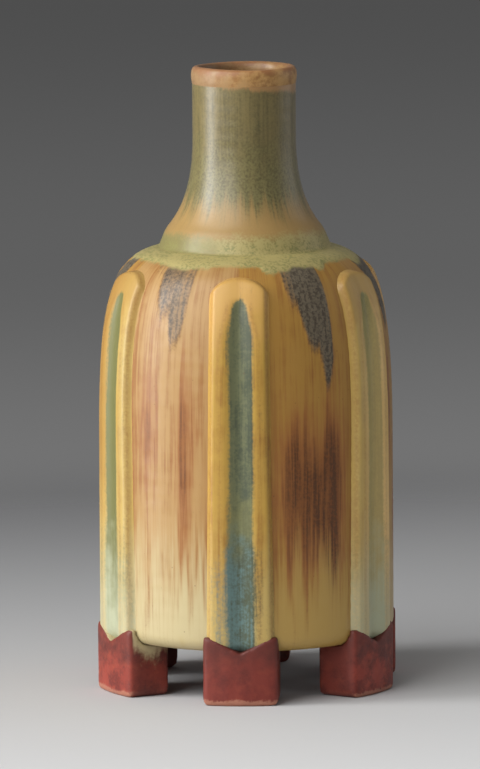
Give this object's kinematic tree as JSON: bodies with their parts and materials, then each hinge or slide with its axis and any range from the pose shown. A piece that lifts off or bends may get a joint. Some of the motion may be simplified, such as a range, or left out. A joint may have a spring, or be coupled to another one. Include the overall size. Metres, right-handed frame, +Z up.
{
  "type": "stoneware vase",
  "caption": "Bottle-shaped glazed stoneware vase with a flared collar, rolled lip, fluted pilasters up the body and notched block feet under them.",
  "frame": {"origin": "on the vase's axis at the level that the feet stand on", "axes": "+Z up along the axis towards the mouth, -Y the front, through the middle of the first foot and pilaster, +X the side on which the rim is higher"},
  "size_m": [0.1472, 0.154, 0.31],
  "materials": {
    "bare_clay": "unglazed fired clay, rough",
    "brown_glaze": "iron-brown streaked glaze, satin gloss",
    "olive_glaze": "olive-green glaze, satin gloss",
    "tan_glaze": "tan glaze thinned on the rim, satin gloss",
    "ochre_glaze": "ochre glaze with blue-green pooled in the flute, satin gloss",
    "brick_glaze": "brick-red glaze, low sheen"
  },
  "bodies": {
    "root": {"base_slab": "bare_clay", "barrel_wall": "brown_glaze", "shoulder_dome": "brown_glaze", "neck_collar": "olive_glaze", "neck_tube": "olive_glaze", "lip_ring": "tan_glaze", "pilaster_1": "ochre_glaze", "pilaster_2": "ochre_glaze", "pilaster_3": "ochre_glaze", "pilaster_4": "ochre_glaze", "pilaster_5": "ochre_glaze", "pilaster_6": "ochre_glaze", "foot_1": "brick_glaze", "foot_2": "brick_glaze", "foot_3": "brick_glaze", "foot_4": "brick_glaze", "foot_5": "brick_glaze", "foot_6": "brick_glaze"}
  },
  "joints": []
}
